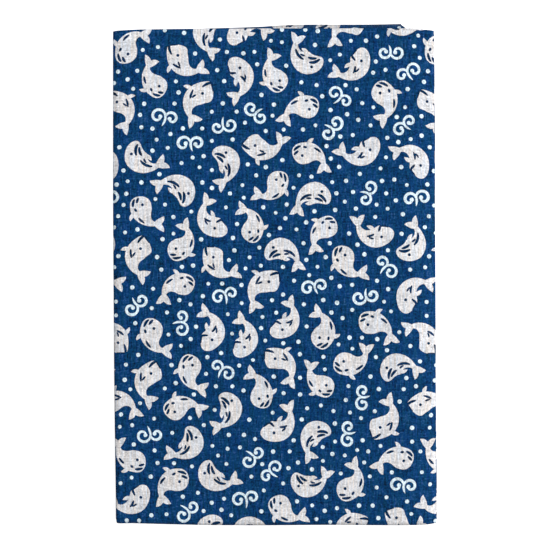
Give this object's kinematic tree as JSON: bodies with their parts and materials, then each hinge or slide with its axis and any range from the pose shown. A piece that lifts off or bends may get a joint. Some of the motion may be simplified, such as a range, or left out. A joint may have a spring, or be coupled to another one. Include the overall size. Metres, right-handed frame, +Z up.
{
  "type": "folded tenugui towel",
  "caption": "Thin printed cotton hand towel, folded lengthwise like a letter and then back and forth into a flat packet.",
  "frame": {"origin": "middle of the packet's footprint, on the surface it lies on", "axes": "+Z up through the folded panels, +Y towards the end where the upper cut end of the cloth shows, +X towards the narrow side fold"},
  "size_m": [0.1174, 0.1824, 0.007],
  "materials": {
    "dyed_cotton": "matte plain weave, indigo dyed with small undyed white motifs"
  },
  "bodies": {
    "root": {"tenugui": "dyed_cotton"}
  },
  "joints": []
}
